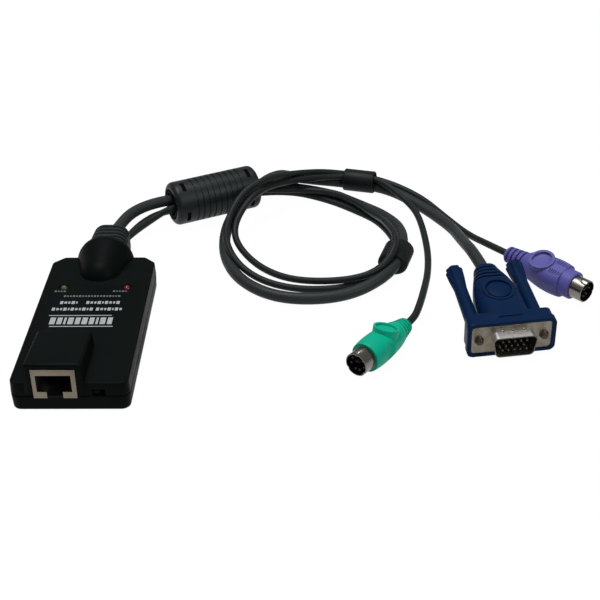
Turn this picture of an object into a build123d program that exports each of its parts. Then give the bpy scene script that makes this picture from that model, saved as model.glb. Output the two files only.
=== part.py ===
from build123d import *
import os
from math import cos, pi, radians, sin, tan

# KVM dongle: a small server interface module with one network style jack, and a
# three-cord tail that ends in a video plug and two round keyboard and mouse plugs.
# X runs across the housing, the jack looks along -Y, the cords leave at +Y.

os.makedirs("parts", exist_ok=True)

# Housing
body_width = 43.2
body_length = 90.3
body_height = 11.8
base_height = 6.3
wall = 2.0
front_corner = 3.6
rear_cut = 4.6
rear_corner = 2.4
base_round = 0.8
top_round = 0.5
shell_draft = 3.0
seam_chamfer = 0.35
front_y = -44.0
rear_y = front_y + body_length
middle_y = (front_y + rear_y) / 2
fit_gap = 0.15

# Circuit board and the screws that clamp it between the two shells
board_thickness = 1.6
board_top = 5.7
board_bottom = board_top - board_thickness
board_width = body_width - 2 * wall - 0.8
board_front = front_y + wall + 0.3
board_rear = rear_y - 9.0
screw_radius = 1.3
screw_hole = screw_radius + 0.15
screw_head_radius = 2.3
screw_head_height = 1.8
screw_head_seat = 2.2
screw_length = 7.8
boss_radius = 2.75
screw_x = body_width / 2 - 5.4
screw_rows = (front_y + 11.0, rear_y - 12.0)
screw_places = [(side * screw_x, row) for row in screw_rows for side in (-1, 1)]

# Network jack
jack_x = 16.7 - body_width / 2
jack_width = 16.0
jack_height = 12.2
jack_depth = 16.0
jack_front = front_y - 0.3
jack_sheet = 0.35
socket_width = 12.2
socket_height = 6.9
socket_floor = board_top + 2.7
socket_depth = 12.5
latch_width = 5.8
contact_count = 8
contact_pitch = 1.02
contact_width = 0.5
contact_thickness = 0.35

# Raised box over the jack
hood_wall = 2.3
hood_width = jack_width + 2 * hood_wall + 1.2
hood_front_height = board_top + jack_height + hood_wall
hood_rear_height = hood_front_height - 3.1
hood_length = 26.5
hood_corner = 2.4
hood_draft = 3.5
hood_round = 1.2

# Slide switch beside the jack
switch_x = body_width / 2 - 10.85
window_width = 4.7
window_height = 2.8
switch_width = 8.6
switch_height = 3.6
switch_depth = 4.0
knob_width = 2.0
knob_height = 1.7
knob_gap = 0.2
switch_travel = 2.2

# Indicator lamps
lamp_radius = 1.5
green_lamp_x = 8.4 - body_width / 2
red_lamp_x = body_width / 2 - 9.4
lamp_y = 22.0
lamp_top = body_height + 0.45

# Strain relief and the round hump of the housing that holds it
relief_z = 9.0
relief_flange = 6.85
relief_neck = 6.0
collar_root = (17.0, 17.0, 5.4)
collar_end = (15.4, 16.0, 5.4)
collar_round = 1.3
relief_flange_y = rear_y + 0.1
relief_flange_length = 2.4
tail_rear = 51.0
relief_end = 66.0
relief_groove_count = 4
relief_groove_pitch = 3.0
relief_groove_width = 1.1
relief_groove_depth = 0.9
relief_gap = 0.1
hump_start = 25.5
hump_radius = 11.9
tail_radius = 10.2
tail_shoulder = 5.4

# Cords: diameters, and where each leaves the strain relief: x, z and heading in degrees
thick_cord = 5.0
thin_cord = 3.0
cord_seat = 5.2
cord_gap = 0.05
vga_exit = (0.1, 11.4, 80.0)
keyboard_exit = (2.6, 6.1, 72.0)
mouse_exit = (5.1, 8.8, 68.0)

# Plugs: where each mating face stands, and its heading, tilt and roll in degrees
vga_pose = (162.5, -10.3, 8.6, 6.0, 4.0, 2.6)
keyboard_pose = (194.7, 29.5, 6.9, 41.3, 0.0, 18.0)
mouse_pose = (106.5, -20.7, 6.5, -37.0, 0.0, 0.0)


def face_plane(x, y, z, heading, tilt, roll):
    """Plane on a plug's mating face, with z out of the face and y up."""
    place = Location((x, y, z), (0, 0, heading))
    upright = Location((0, 0, 0), (90 + tilt, 0, 0))
    rolled = Location((0, 0, 0), (0, 0, roll))
    return Plane(place * upright * rolled)


def side_plane(face):
    """Plane through a plug's axis, with x out of the face and y up."""
    return Plane(face.origin, x_dir=face.z_dir, z_dir=face.z_dir.cross(face.y_dir))


def exit_plane(x, z, heading):
    """Plane across a cord at the bottom of its seat in the strain relief."""
    along = Vector(cos(radians(heading)), sin(radians(heading)), 0)
    start = Vector(x, relief_end, z) - along * cord_seat
    return Plane(origin=start, x_dir=(0, 0, 1), z_dir=along)


vga_face = face_plane(*vga_pose)
keyboard_face = face_plane(*keyboard_pose)
mouse_face = face_plane(*mouse_pose)
relief_axis = Axis((0, 0, relief_z), (0, 1, 0))


def housing_outline(height, inset):
    """Plan outline of the housing, its rear corners cut off and softened."""
    with BuildSketch(Plane.XY.offset(height)) as outline:
        with Locations((0, middle_y)):
            Rectangle(body_width - 2 * inset, body_length - 2 * inset)
        front = outline.vertices().group_by(Axis.Y)[0]
        fillet(front, front_corner - inset)
        rear = outline.vertices().group_by(Axis.Y)[-1]
        chamfer(rear, rear_cut - 0.6 * inset)
        cut = outline.vertices().sort_by(Axis.Y)[-4:]
        fillet(cut, rear_corner)
    return outline.sketch


# Barrel: the hump on the top and the round tail behind the rear wall, as one turned form
with BuildPart() as barrel:
    with BuildSketch(Plane.YZ) as barrel_profile:
        with BuildLine():
            nose = ThreePointArc((hump_start, relief_z), (27.4, relief_z + 5.6), (32.0, relief_z + 8.6))
            flank = Line(nose @ 1, (tail_rear - tail_shoulder, relief_z + hump_radius))
            tail_middle = (tail_rear - 1.8, relief_z + (2 * hump_radius + tail_radius) / 3)
            tail = ThreePointArc(flank @ 1, tail_middle, (tail_rear, relief_z + tail_radius))
            Line(tail @ 1, (tail_rear, relief_z))
            Line((tail_rear, relief_z), nose @ 0)
        make_face()
    revolve(axis=relief_axis)

# Seat for the strain relief: a passage, a room for its flange and a bore for its neck
with BuildPart() as relief_seat:
    with BuildSketch(Plane.YZ) as seat_profile:
        with BuildLine():
            Polyline(
                (rear_y - wall - 0.5, relief_z),
                (rear_y - wall - 0.5, relief_z + 5.0),
                (rear_y, relief_z + 5.0),
                (rear_y, relief_z + relief_flange + relief_gap),
                (relief_flange_y + relief_flange_length + relief_gap, relief_z + relief_flange + relief_gap),
                (relief_flange_y + relief_flange_length + relief_gap, relief_z + relief_neck + relief_gap),
                (tail_rear + 1, relief_z + relief_neck + relief_gap),
                (tail_rear + 1, relief_z),
                close=True,
            )
        make_face()
    revolve(axis=relief_axis)

# Lower half of the round tail, flat where it meets the table
with BuildPart() as tail_base:
    add(barrel.part)
    with Locations((0, tail_rear - 4, base_height / 2)):
        Box(2 * hump_radius, 10, base_height, mode=Mode.INTERSECT)
    low_edges = tail_base.edges().group_by(Axis.Z)[0].filter_by(Axis.X)
    chamfer(low_edges.sort_by(Axis.Y)[-1], 0.8)

# Bottom shell: a rounded tray with screw bosses
with BuildPart() as bottom_shell:
    extrude(housing_outline(0, base_height * tan(radians(shell_draft))), amount=base_height, taper=-shell_draft)
    fillet(bottom_shell.edges().group_by(Axis.Z)[0], base_round)
    chamfer(bottom_shell.edges().group_by(Axis.Z)[-1], seam_chamfer)
    add(tail_base.part)
    extrude(housing_outline(wall, wall), amount=base_height, mode=Mode.SUBTRACT)
    with Locations(*[(x, y, 0) for x, y in screw_places]):
        Cylinder(
            screw_head_radius + 1.3,
            board_bottom,
            align=(Align.CENTER, Align.CENTER, Align.MIN),
        )
        Cylinder(
            screw_head_radius + 0.3,
            screw_head_seat,
            align=(Align.CENTER, Align.CENTER, Align.MIN),
            mode=Mode.SUBTRACT,
        )
        Cylinder(screw_hole, base_height * 2, mode=Mode.SUBTRACT)
    add(relief_seat.part, mode=Mode.SUBTRACT)
    # notch for the jack, and a pry slot at the seam on the right side
    with Locations((jack_x, front_y, board_top - fit_gap)):
        Box(
            jack_width + 2 * fit_gap,
            3 * wall,
            base_height,
            align=(Align.CENTER, Align.CENTER, Align.MIN),
            mode=Mode.SUBTRACT,
        )
    with Locations((body_width / 2, -20.0, base_height)):
        Box(1.6, 8.0, 1.6, mode=Mode.SUBTRACT)
    bottom_shell.part.label = "bottom_shell"

# Raised box over the jack, with drafted walls and a top that falls a little to the rear
with BuildPart() as jack_hood:
    with BuildSketch(Plane.XY.offset(base_height + 1)) as hood_plan:
        with Locations((jack_x, front_y - 5)):
            Rectangle(hood_width, hood_length + 5, align=(Align.CENTER, Align.MIN))
        fillet(hood_plan.vertices().group_by(Axis.Y)[-1], hood_corner)
    extrude(amount=hood_front_height, taper=hood_draft)
    with BuildSketch(Plane.YZ.offset(jack_x)):
        with BuildLine():
            Polyline(
                (front_y, base_height),
                (front_y, hood_front_height),
                (front_y + hood_length + 5, hood_rear_height),
                (front_y + hood_length + 5, base_height),
                close=True,
            )
        make_face()
    extrude(amount=hood_width, both=True, mode=Mode.INTERSECT)
    hood_top = jack_hood.faces().sort_by(Axis.Z)[-1]
    fillet(hood_top.edges(), hood_round)

# Top shell: lid with the jack hood, the round hump, screw bosses and openings
with BuildPart() as top_shell:
    extrude(housing_outline(base_height, 0), amount=body_height - base_height, taper=shell_draft)
    fillet(top_shell.edges().group_by(Axis.Z)[-1], top_round)
    chamfer(top_shell.edges().group_by(Axis.Z)[0], seam_chamfer)
    add(jack_hood.part)
    add(barrel.part)
    # everything below the seam belongs to the bottom shell
    with Locations((0, 0, base_height)):
        Box(
            2 * body_width,
            2 * body_length,
            2 * body_height,
            align=(Align.CENTER, Align.CENTER, Align.MAX),
            mode=Mode.SUBTRACT,
        )
    extrude(housing_outline(base_height, wall), amount=body_height - wall - base_height, mode=Mode.SUBTRACT)
    with BuildSketch(Plane.YZ):
        with BuildLine():
            hollow_nose = ThreePointArc((30.0, relief_z), (31.0, relief_z + 4.6), (33.5, relief_z + 6.6))
            hollow_flank = Line(hollow_nose @ 1, (rear_y - wall, relief_z + hump_radius - 2.2))
            Line(hollow_flank @ 1, (rear_y - wall, relief_z))
            Line((rear_y - wall, relief_z), hollow_nose @ 0)
        make_face()
    revolve(axis=relief_axis, mode=Mode.SUBTRACT)
    with Locations(*[(x, y, board_top) for x, y in screw_places]):
        Cylinder(
            boss_radius,
            body_height - wall / 2 - board_top,
            align=(Align.CENTER, Align.CENTER, Align.MIN),
        )
        Cylinder(
            screw_radius,
            screw_length - 2.0,
            align=(Align.CENTER, Align.CENTER, Align.MIN),
            mode=Mode.SUBTRACT,
        )
    add(relief_seat.part, mode=Mode.SUBTRACT)
    with Locations((jack_x, jack_front - 1, base_height - 1)):
        Box(
            jack_width + 2 * fit_gap,
            jack_depth + 1 + fit_gap,
            board_top + jack_height + fit_gap - base_height + 1,
            align=(Align.CENTER, Align.MIN, Align.MIN),
            mode=Mode.SUBTRACT,
        )
    with Locations((switch_x, front_y, base_height)):
        Box(
            window_width,
            3 * wall,
            window_height,
            align=(Align.CENTER, Align.CENTER, Align.MIN),
            mode=Mode.SUBTRACT,
        )
    with Locations((green_lamp_x, lamp_y, body_height), (red_lamp_x, lamp_y, body_height)):
        Cylinder(lamp_radius + 0.1, 3 * wall, mode=Mode.SUBTRACT)
        Cone(
            lamp_radius + 0.1,
            lamp_radius + 0.7,
            0.6,
            align=(Align.CENTER, Align.CENTER, Align.MAX),
            mode=Mode.SUBTRACT,
        )
    top_shell.part.label = "top_shell"

# Four self-tapping screws from below, heads in their counterbores
with BuildPart() as housing_screws:
    with Locations(*[(x, y, screw_head_seat) for x, y in screw_places]):
        Cylinder(screw_head_radius, screw_head_height, align=(Align.CENTER, Align.CENTER, Align.MAX))
        Cylinder(screw_radius, screw_length, align=(Align.CENTER, Align.CENTER, Align.MIN))
    with Locations(*[(x, y, screw_head_seat - screw_head_height) for x, y in screw_places]):
        Box(2.6, 0.5, 1.8, mode=Mode.SUBTRACT)
        Box(0.5, 2.6, 1.8, mode=Mode.SUBTRACT)
    housing_screws.part.label = "housing_screws"

# Circuit board
with BuildPart() as circuit_board:
    with BuildSketch(Plane.XY.offset(board_bottom)):
        with Locations((0, (board_front + board_rear) / 2)):
            RectangleRounded(board_width, board_rear - board_front, 1.5)
        with Locations(*screw_places):
            Circle(screw_hole, mode=Mode.SUBTRACT)
    extrude(amount=board_thickness)
    circuit_board.part.label = "circuit_board"

# Controller chip, square with legs on four sides
with BuildPart() as controller_chip:
    with Locations((0, -8, board_top + 0.3)):
        Box(10, 10, 1.4, align=(Align.CENTER, Align.CENTER, Align.MIN))
    with Locations((0, -8, board_top)):
        with GridLocations(0, 1.2, 1, 7):
            Box(12.4, 0.4, 0.5, align=(Align.CENTER, Align.CENTER, Align.MIN))
        with GridLocations(1.2, 0, 7, 1):
            Box(0.4, 12.4, 0.5, align=(Align.CENTER, Align.CENTER, Align.MIN))
    controller_chip.part.label = "controller_chip"

# Two line driver chips with legs on two sides
with BuildPart() as driver_chips:
    for chip_x in (10.7 - board_width / 2, board_width / 2 - 10.7):
        with Locations((chip_x, 10, board_top + 0.3)):
            Box(8.6, 3.9, 1.4, align=(Align.CENTER, Align.CENTER, Align.MIN))
        with Locations((chip_x, 10, board_top)):
            with GridLocations(1.27, 0, 7, 1):
                Box(0.45, 6.0, 0.5, align=(Align.CENTER, Align.CENTER, Align.MIN))
    driver_chips.part.label = "driver_chips"

# Quartz crystal in its flat can
with BuildPart() as crystal_can:
    with BuildSketch(Plane.XY.offset(board_top)):
        with Locations((board_width / 2 - 6.7, -12)):
            SlotOverall(10.6, 4.4, rotation=90)
    extrude(amount=3.4)
    crystal_can.part.label = "crystal_can"

# Two small capacitor cans
with BuildPart() as capacitors:
    can_x = 5.7 - board_width / 2
    can_height = body_height - wall - board_top - 0.4
    with Locations((can_x, -8, board_top), (can_x, -15, board_top)):
        Cylinder(2.0, can_height, align=(Align.CENTER, Align.CENTER, Align.MIN))
    capacitors.part.label = "capacitors"

# Three sockets on the board for the wires of the three cords
with BuildPart() as wire_headers:
    side_header = board_width / 2 - 9.2
    header_y = board_rear - 10.4
    for header_x, header_width in ((-side_header, 7.0), (0, 11.0), (side_header, 7.0)):
        with Locations((header_x, header_y, board_top)):
            Box(header_width, 4.4, 3.6, align=(Align.CENTER, Align.CENTER, Align.MIN))
        with Locations((header_x, header_y, board_top + 1.0)):
            Box(
                header_width - 1.2,
                3.2,
                3.0,
                align=(Align.CENTER, Align.CENTER, Align.MIN),
                mode=Mode.SUBTRACT,
            )
    wire_headers.part.label = "wire_headers"

# Jack shield: a folded box with a framed front, open below and behind
shield_centre = (jack_x, jack_front, board_top)
with BuildPart() as rj45_shield:
    with Locations(shield_centre):
        Box(jack_width, jack_depth, jack_height, align=(Align.CENTER, Align.MIN, Align.MIN))
    front_upright = rj45_shield.faces().sort_by(Axis.Y)[0].edges().filter_by(Axis.Z)
    fillet(front_upright, 0.6)
    with Locations((jack_x, jack_front + jack_sheet, board_top)):
        Box(
            jack_width - 2 * jack_sheet,
            jack_depth,
            jack_height - jack_sheet,
            align=(Align.CENTER, Align.MIN, Align.MIN),
            mode=Mode.SUBTRACT,
        )
    with Locations((jack_x, jack_front, socket_floor)):
        Box(
            socket_width + 0.4,
            2,
            socket_height + 0.2,
            align=(Align.CENTER, Align.CENTER, Align.MIN),
            mode=Mode.SUBTRACT,
        )
    with Locations((jack_x, jack_front, board_top - 1)):
        Box(
            latch_width,
            2,
            socket_floor - board_top + 2,
            align=(Align.CENTER, Align.CENTER, Align.MIN),
            mode=Mode.SUBTRACT,
        )
    rj45_shield.part.label = "rj45_shield"

# Jack contacts: eight bent wires that hang from the roof of the socket
socket_roof = socket_floor + socket_height
socket_back = jack_front + jack_sheet + socket_depth
with BuildPart() as rj45_contacts:
    with BuildSketch(Plane.YZ.offset(jack_x - contact_pitch * (contact_count - 1) / 2)) as wire:
        with BuildLine():
            Polyline(
                (socket_back + 1.6, board_top + contact_thickness / 2),
                (socket_back + 1.6, socket_roof + 0.8),
                (jack_front + 2.2, socket_roof + 0.8),
                (jack_front + 1.9, socket_roof - 0.1),
                (socket_back - 4.0, socket_roof - 3.4),
            )
            offset(amount=contact_thickness / 2, kind=Kind.INTERSECTION)
        make_face()
    contact = extrude(wire.sketch, amount=contact_width / 2, both=True, mode=Mode.PRIVATE)
    for number in range(contact_count):
        add(Pos(number * contact_pitch, 0, 0) * contact)
    rj45_contacts.part.label = "rj45_contacts"

# Jack insert: the moulded block with the socket, its latch channel and the wire slots
with BuildPart() as rj45_insert:
    with Locations((jack_x, jack_front + jack_sheet, board_top)):
        Box(
            jack_width - 2 * jack_sheet,
            jack_depth - jack_sheet - 0.4,
            jack_height - jack_sheet,
            align=(Align.CENTER, Align.MIN, Align.MIN),
        )
    with Locations((jack_x, jack_front + jack_sheet, socket_floor)):
        Box(
            socket_width,
            socket_depth,
            socket_height,
            align=(Align.CENTER, Align.MIN, Align.MIN),
            mode=Mode.SUBTRACT,
        )
    with Locations((jack_x, jack_front + jack_sheet, board_top + 0.9)):
        Box(
            latch_width,
            socket_depth - 2.5,
            socket_floor - board_top,
            align=(Align.CENTER, Align.MIN, Align.MIN),
            mode=Mode.SUBTRACT,
        )
    add(rj45_contacts.part, mode=Mode.SUBTRACT)
    rj45_insert.part.label = "rj45_insert"


def lamp(x):
    """Dome lamp on its two legs, under a hole in the lid."""
    with BuildPart() as body:
        with BuildSketch(Plane.XZ.offset(-lamp_y)):
            with BuildLine():
                dome = RadiusArc((x, lamp_top), (x + lamp_radius, lamp_top - lamp_radius), lamp_radius)
                Polyline(
                    dome @ 1,
                    (x + lamp_radius, lamp_top - 4.3),
                    (x + lamp_radius + 0.4, lamp_top - 4.3),
                    (x + lamp_radius + 0.4, lamp_top - 5.2),
                    (x, lamp_top - 5.2),
                    dome @ 0,
                )
            make_face()
        revolve(axis=Axis((x, lamp_y, 0), (0, 0, 1)))
        with Locations((x, lamp_y, board_top)):
            with GridLocations(2.0, 0, 2, 1):
                Box(0.5, 0.5, lamp_top - 5.0 - board_top, align=(Align.CENTER, Align.CENTER, Align.MIN))
    return body.part


green_lamp = lamp(green_lamp_x)
green_lamp.label = "green_lamp"
red_lamp = lamp(red_lamp_x)
red_lamp.label = "red_lamp"

# Slide switch: a case on the board with a slot for its knob
switch_front = board_front
slot_half = knob_width / 2 + switch_travel / 2 + knob_gap
carriage_width = knob_width + 1.2
carriage_height = knob_height + 0.5
knob_z = base_height + window_height / 2
with BuildPart() as switch_case:
    with Locations((switch_x, switch_front, board_top)):
        Box(switch_width, switch_depth, switch_height, align=(Align.CENTER, Align.MIN, Align.MIN))
    with Locations((switch_x, switch_front + 0.5, knob_z)):
        Box(
            carriage_width + switch_travel + 2 * knob_gap,
            switch_depth - 1.2,
            carriage_height + 2 * knob_gap,
            align=(Align.CENTER, Align.MIN, Align.CENTER),
            mode=Mode.SUBTRACT,
        )
    with Locations((switch_x, switch_front, knob_z)):
        Box(2 * slot_half, 2, knob_height + 2 * knob_gap, mode=Mode.SUBTRACT)
    switch_case.part.label = "switch_case"

# Knob of the slide switch, at the left end of its travel
knob_x = switch_x - switch_travel / 2
with BuildPart() as switch_knob:
    with Locations((knob_x, switch_front + 0.5 + knob_gap, knob_z)):
        Box(carriage_width, 2.4, carriage_height, align=(Align.CENTER, Align.MIN, Align.CENTER))
    with Locations((knob_x, front_y + 0.7, knob_z)):
        Box(
            knob_width,
            switch_front - front_y + 0.3,
            knob_height,
            align=(Align.CENTER, Align.MIN, Align.CENTER),
        )
    with Locations((knob_x, front_y + 0.7, knob_z)):
        with GridLocations(0.65, 0, 2, 1):
            Box(0.25, 0.5, knob_height, mode=Mode.SUBTRACT)
    switch_knob.part.label = "switch_knob"

# Strain relief: a flange and neck held by the shells, then a ribbed collar with flattened sides
def collar_section(y, width, height, corner):
    """Rounded section of the collar at a place along Y."""
    with BuildSketch(Plane(origin=(0, y, relief_z), x_dir=(1, 0, 0), z_dir=(0, 1, 0))) as section:
        RectangleRounded(width, height, corner)
    return section.sketch


collar_stations = [(tail_rear + 0.1, *collar_root), (relief_end, *collar_end)]

# Core of the collar: what is left at the bottom of its grooves
with BuildPart() as collar_core:
    for y, width, height, corner in collar_stations:
        groove_loss = 2 * relief_groove_depth
        add(collar_section(y, width - groove_loss, height - groove_loss, corner - relief_groove_depth))
    loft(ruled=True)

with BuildPart() as strain_relief:
    with BuildSketch(Plane.YZ):
        with BuildLine():
            Polyline(
                (relief_flange_y, relief_z),
                (relief_flange_y, relief_z + relief_flange),
                (relief_flange_y + relief_flange_length, relief_z + relief_flange),
                (relief_flange_y + relief_flange_length, relief_z + relief_neck),
                (tail_rear + 0.2, relief_z + relief_neck),
                (tail_rear + 0.2, relief_z),
                close=True,
            )
        make_face()
    revolve(axis=relief_axis)
    for station in collar_stations:
        add(collar_section(*station))
    loft(ruled=True)
    fillet(strain_relief.faces().sort_by(Axis.Y)[-1].edges(), collar_round)
    for number in range(relief_groove_count):
        groove_y = relief_end - 3.0 - number * relief_groove_pitch
        with BuildPart(mode=Mode.PRIVATE) as collar_groove:
            with Locations((0, groove_y, relief_z)):
                Box(3 * relief_neck, relief_groove_width, 3 * relief_neck)
            add(collar_core.part, mode=Mode.SUBTRACT)
        add(collar_groove.part, mode=Mode.SUBTRACT)
    for place, diameter in ((vga_exit, thick_cord), (keyboard_exit, thin_cord), (mouse_exit, thin_cord)):
        with BuildSketch(exit_plane(*place)):
            Circle(diameter / 2 + cord_gap)
        extrude(amount=2 * cord_seat, mode=Mode.SUBTRACT)
    strain_relief.part.label = "strain_relief"

# Video plug
flange_width = 30.8
flange_height = 12.5
flange_sheet = 0.8
flange_corner = 1.6
screw_spacing = 24.99
skirt_width = 17.6
skirt_height = 9.1
skirt_length = 5.9
skirt_sheet = 0.45
skirt_slant = 10.0
pin_pitch = 2.29
pin_row_pitch = 1.98
pin_radius = 0.5
pin_length = 5.2
collar_width = 34.2
collar_height = 15.4
collar_lip = 0.4
collar_depth = 2.6
block_depth = 7.2
grip_width = 18.8
grip_length = 44.0
grip_rear_width = 9.8
grip_rear_height = 9.2
thumb_mark_depth = 22.0
grip_groove_count = 4
grip_groove_pitch = 2.7
jack_screw_radius = 1.42
jack_shank_radius = 1.58
jack_screw_hole = jack_shank_radius + 0.1
jack_screw_step = 0.3
jack_screw_reach = 1.9
thumb_radius = 2.85
thumb_head_radius = 3.6
thumb_head_length = 14.0
thumb_gap = 0.15
thumb_rear = 47.4
thumb_hole_depth = 34.0
thumb_flutes = 8


def skirt_outline(grow):
    """D shape of the video plug's metal skirt, its long side up."""
    half = skirt_width / 2 + grow
    rise = skirt_height / 2 + grow
    lean = 2 * rise * tan(radians(skirt_slant))
    with BuildSketch() as outline:
        with BuildLine():
            Polyline((-half, rise), (half, rise), (half - lean, -rise), (lean - half, -rise), close=True)
        make_face()
        fillet(outline.vertices(), 2.2 + grow)
    return outline.sketch


# Metal front of the video plug: flange, skirt and its row of contact dimples
with BuildPart() as vga_shell:
    with BuildSketch(vga_face.offset(-flange_sheet)):
        RectangleRounded(flange_width, flange_height, flange_corner)
    extrude(amount=flange_sheet)
    with BuildSketch(vga_face.offset(-flange_sheet)):
        add(skirt_outline(0))
    extrude(amount=flange_sheet + skirt_length)
    with BuildSketch(vga_face.offset(-flange_sheet - 1)):
        add(skirt_outline(-skirt_sheet))
    extrude(amount=flange_sheet + skirt_length + 2, mode=Mode.SUBTRACT)
    with BuildSketch(vga_face.offset(-flange_sheet - 1)):
        with GridLocations(screw_spacing, 0, 2, 1):
            Circle(jack_screw_hole + 0.15)
    extrude(amount=flange_sheet + 2, mode=Mode.SUBTRACT)
    for side in (1, -1):
        for number in (-1, 0, 1):
            dimple = vga_face.location * Pos(number * 4.0, side * (skirt_height / 2 - 0.15), 1.5)
            with Locations(dimple):
                Sphere(0.6)
    with BuildSketch(vga_face.offset(-flange_sheet - 1)):
        add(skirt_outline(-skirt_sheet))
    extrude(amount=flange_sheet + skirt_length + 2, mode=Mode.SUBTRACT)
    vga_shell.part.label = "vga_shell"

# Fifteen pins in three rows, the middle row half a pitch aside
with BuildPart() as vga_pins:
    for row, shift in ((1, 0), (0, -0.5), (-1, 0)):
        for column in range(-2, 3):
            place = ((column + shift) * pin_pitch, row * pin_row_pitch)
            with BuildSketch(vga_face.offset(-6)):
                with Locations(place):
                    Circle(pin_radius)
            extrude(amount=6 + pin_length)
    tips = vga_pins.faces().sort_by(Axis(vga_face.origin, vga_face.z_dir))[-15:]
    chamfer(tips.edges(), 0.2)
    vga_pins.part.label = "vga_pins"

# Black insulator that fills the skirt's root and carries the pins
with BuildPart() as vga_insulator:
    with BuildSketch(vga_face.offset(-6)):
        add(skirt_outline(-skirt_sheet))
    extrude(amount=6.5)
    add(vga_pins.part, mode=Mode.SUBTRACT)
    vga_insulator.part.label = "vga_insulator"


def grip_section(depth, width, height, corner):
    """Rounded section of the video plug's grip at a depth behind the face."""
    with BuildSketch(vga_face.offset(-depth)) as section:
        RectangleRounded(width, height, corner)
    return section.sketch


grip_stations = [
    (block_depth - 3.2, grip_width, 15.2, 6.2),
    (12.0, grip_width, 14.2, 5.5),
    (22.0, 18.4, 13.2, 5.0),
    (32.0, 15.6, 12.2, 4.6),
    (39.5, 11.6, 10.2, 4.4),
    (grip_length, grip_rear_width, grip_rear_height, 4.2),
]

# Core of the grip: what is left at the bottom of its grooves
with BuildPart() as grip_core:
    for depth, width, height, corner in grip_stations:
        add(grip_section(depth, width - 1.5, height - 1.5, corner - 0.7))
    loft()

# Moulded hood of the video plug
with BuildPart() as vga_hood:
    for depth, width, height, corner in grip_stations:
        add(grip_section(depth, width, height, corner))
    loft()
    rear_rim = vga_hood.faces().sort_by(Axis(vga_face.origin, vga_face.z_dir))[0].edges()
    fillet(rear_rim, 1.2)
    for number in range(grip_groove_count):
        groove_depth = grip_length - 3.0 - number * grip_groove_pitch
        with BuildPart(mode=Mode.PRIVATE) as groove:
            with BuildSketch(vga_face.offset(-groove_depth)):
                Rectangle(2 * grip_width, 2 * grip_width)
            extrude(amount=1.1)
            add(grip_core.part, mode=Mode.SUBTRACT)
        add(groove.part, mode=Mode.SUBTRACT)
    # block and the framed collar round the metal flange
    with BuildSketch(vga_face.offset(-block_depth)):
        RectangleRounded(collar_width - 1.0, collar_height - 1.0, 2.2)
    extrude(amount=block_depth - 1)
    with BuildSketch(vga_face.offset(-collar_depth)):
        RectangleRounded(collar_width, collar_height, 2.6)
    extrude(amount=collar_depth + collar_lip)
    with BuildSketch(vga_face.offset(-flange_sheet)):
        RectangleRounded(flange_width + 0.1, flange_height + 0.1, flange_corner)
    extrude(amount=flange_sheet + collar_lip + 1, mode=Mode.SUBTRACT)
    with BuildSketch(vga_face.offset(-6)):
        add(skirt_outline(-skirt_sheet))
    extrude(amount=6, mode=Mode.SUBTRACT)
    with BuildSketch(vga_face.offset(-block_depth - 1)):
        with GridLocations(screw_spacing, 0, 2, 1):
            Circle(jack_screw_hole)
    extrude(amount=block_depth + 2, mode=Mode.SUBTRACT)
    # thumb mark: a raised oval rim round a dished pad
    thumb_mark = Plane(vga_face.origin, x_dir=vga_face.x_dir, z_dir=vga_face.y_dir)
    with BuildSketch(thumb_mark.offset(5.2)):
        with Locations((0, thumb_mark_depth)):
            Ellipse(6.2, 7.0)
    extrude(amount=2.0)
    with BuildSketch(thumb_mark.offset(6.25)):
        with Locations((0, thumb_mark_depth)):
            Ellipse(5.2, 6.0)
    extrude(amount=3, mode=Mode.SUBTRACT)
    with BuildSketch(thumb_mark.offset(5.0)):
        with Locations((0, thumb_mark_depth)):
            Ellipse(4.3, 5.0)
    extrude(amount=1.85)
    vga_hood.part.label = "vga_hood"


def thumb_knob(side):
    """Long fluted thumbscrew knob, moulded round its steel screw."""
    centre = side * screw_spacing / 2
    profile_plane = Plane(vga_face.origin, x_dir=vga_face.x_dir, z_dir=vga_face.y_dir)
    with BuildPart() as knob:
        with BuildSketch(profile_plane):
            with BuildLine():
                Polyline(
                    (centre, block_depth + thumb_gap),
                    (centre + thumb_radius - 0.3, block_depth + thumb_gap),
                    (centre + thumb_radius, block_depth + thumb_gap + 1.0),
                    (centre + thumb_radius - 0.2, thumb_rear - thumb_head_length),
                    (centre + thumb_head_radius - 0.3, thumb_rear - thumb_head_length / 2),
                    (centre + thumb_head_radius, thumb_rear - 1.6),
                    (centre + thumb_head_radius - 1.3, thumb_rear),
                    (centre, thumb_rear),
                    close=True,
                )
            make_face()
        spin_origin = profile_plane.from_local_coords((centre, 0, 0))
        revolve(axis=Axis(spin_origin, vga_face.z_dir))
        with BuildSketch(vga_face.offset(-thumb_rear)):
            with Locations((centre, 0)):
                with PolarLocations(thumb_head_radius + 0.25, thumb_flutes):
                    Circle(1.05)
        extrude(amount=thumb_head_length, mode=Mode.SUBTRACT)
        with BuildSketch(vga_face.offset(-thumb_hole_depth)):
            with Locations((centre, 0)):
                Circle(jack_shank_radius)
        extrude(amount=thumb_hole_depth, mode=Mode.SUBTRACT)
    return knob.part


def jack_screw(side):
    """Steel jack screw: a rod through the block and the flange, with a thinner chamfered tip."""
    with BuildPart() as rod:
        with BuildSketch(vga_face.offset(-thumb_hole_depth)):
            with Locations((side * screw_spacing / 2, 0)):
                Circle(jack_shank_radius)
        extrude(amount=thumb_hole_depth + jack_screw_step)
        with BuildSketch(vga_face):
            with Locations((side * screw_spacing / 2, 0)):
                Circle(jack_screw_radius)
        extrude(amount=jack_screw_reach)
        tip = rod.faces().sort_by(Axis(vga_face.origin, vga_face.z_dir))[-1]
        chamfer(tip.edges(), 0.4)
    return rod.part


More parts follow.
